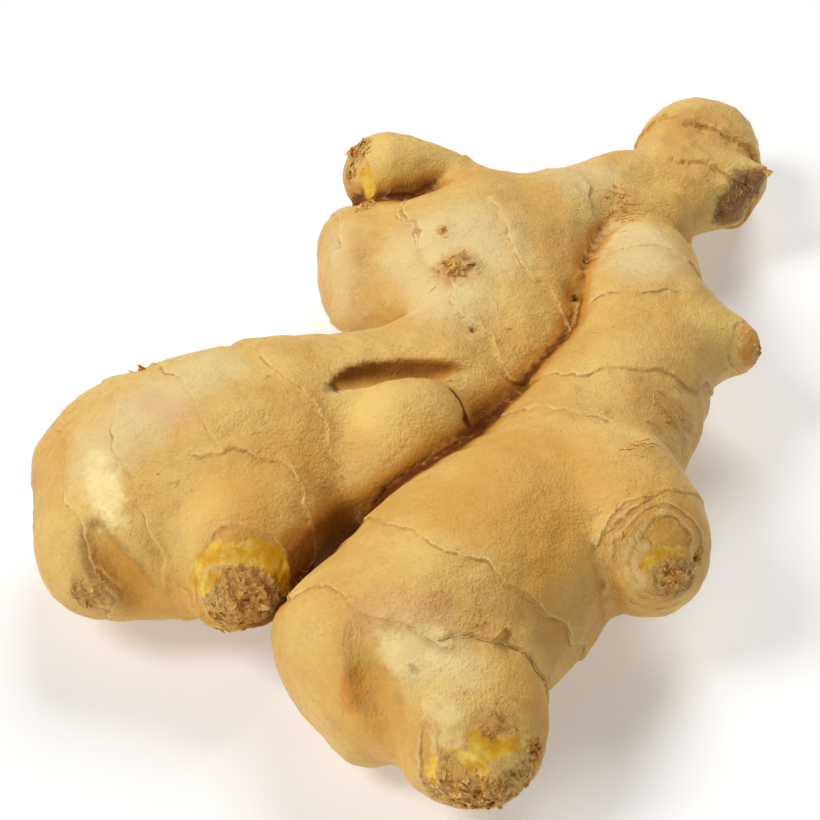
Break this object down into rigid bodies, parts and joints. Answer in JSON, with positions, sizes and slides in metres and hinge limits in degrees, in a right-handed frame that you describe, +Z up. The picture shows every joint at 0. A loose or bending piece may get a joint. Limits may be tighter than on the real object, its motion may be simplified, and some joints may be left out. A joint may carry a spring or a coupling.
{
  "type": "ginger root",
  "caption": "Whole fresh ginger rhizome with two long ringed fingers, short buds and a knob at the back, lying flat.",
  "frame": {"origin": "middle of the bounding box's bottom face, on the surface that the ginger lies on", "axes": "+Z up from the surface; -Y towards the tips of the two fingers, +Y towards the knob at the back; +X to the right seen from the tips"},
  "size_m": [0.126, 0.1694, 0.0354],
  "materials": {
    "skin": "thin dry corky skin, satin, tan gold with papery ring edges and bare yellow flesh at the bud tips"
  },
  "bodies": {
    "root": {"ginger_rhizome": "skin"}
  },
  "joints": []
}
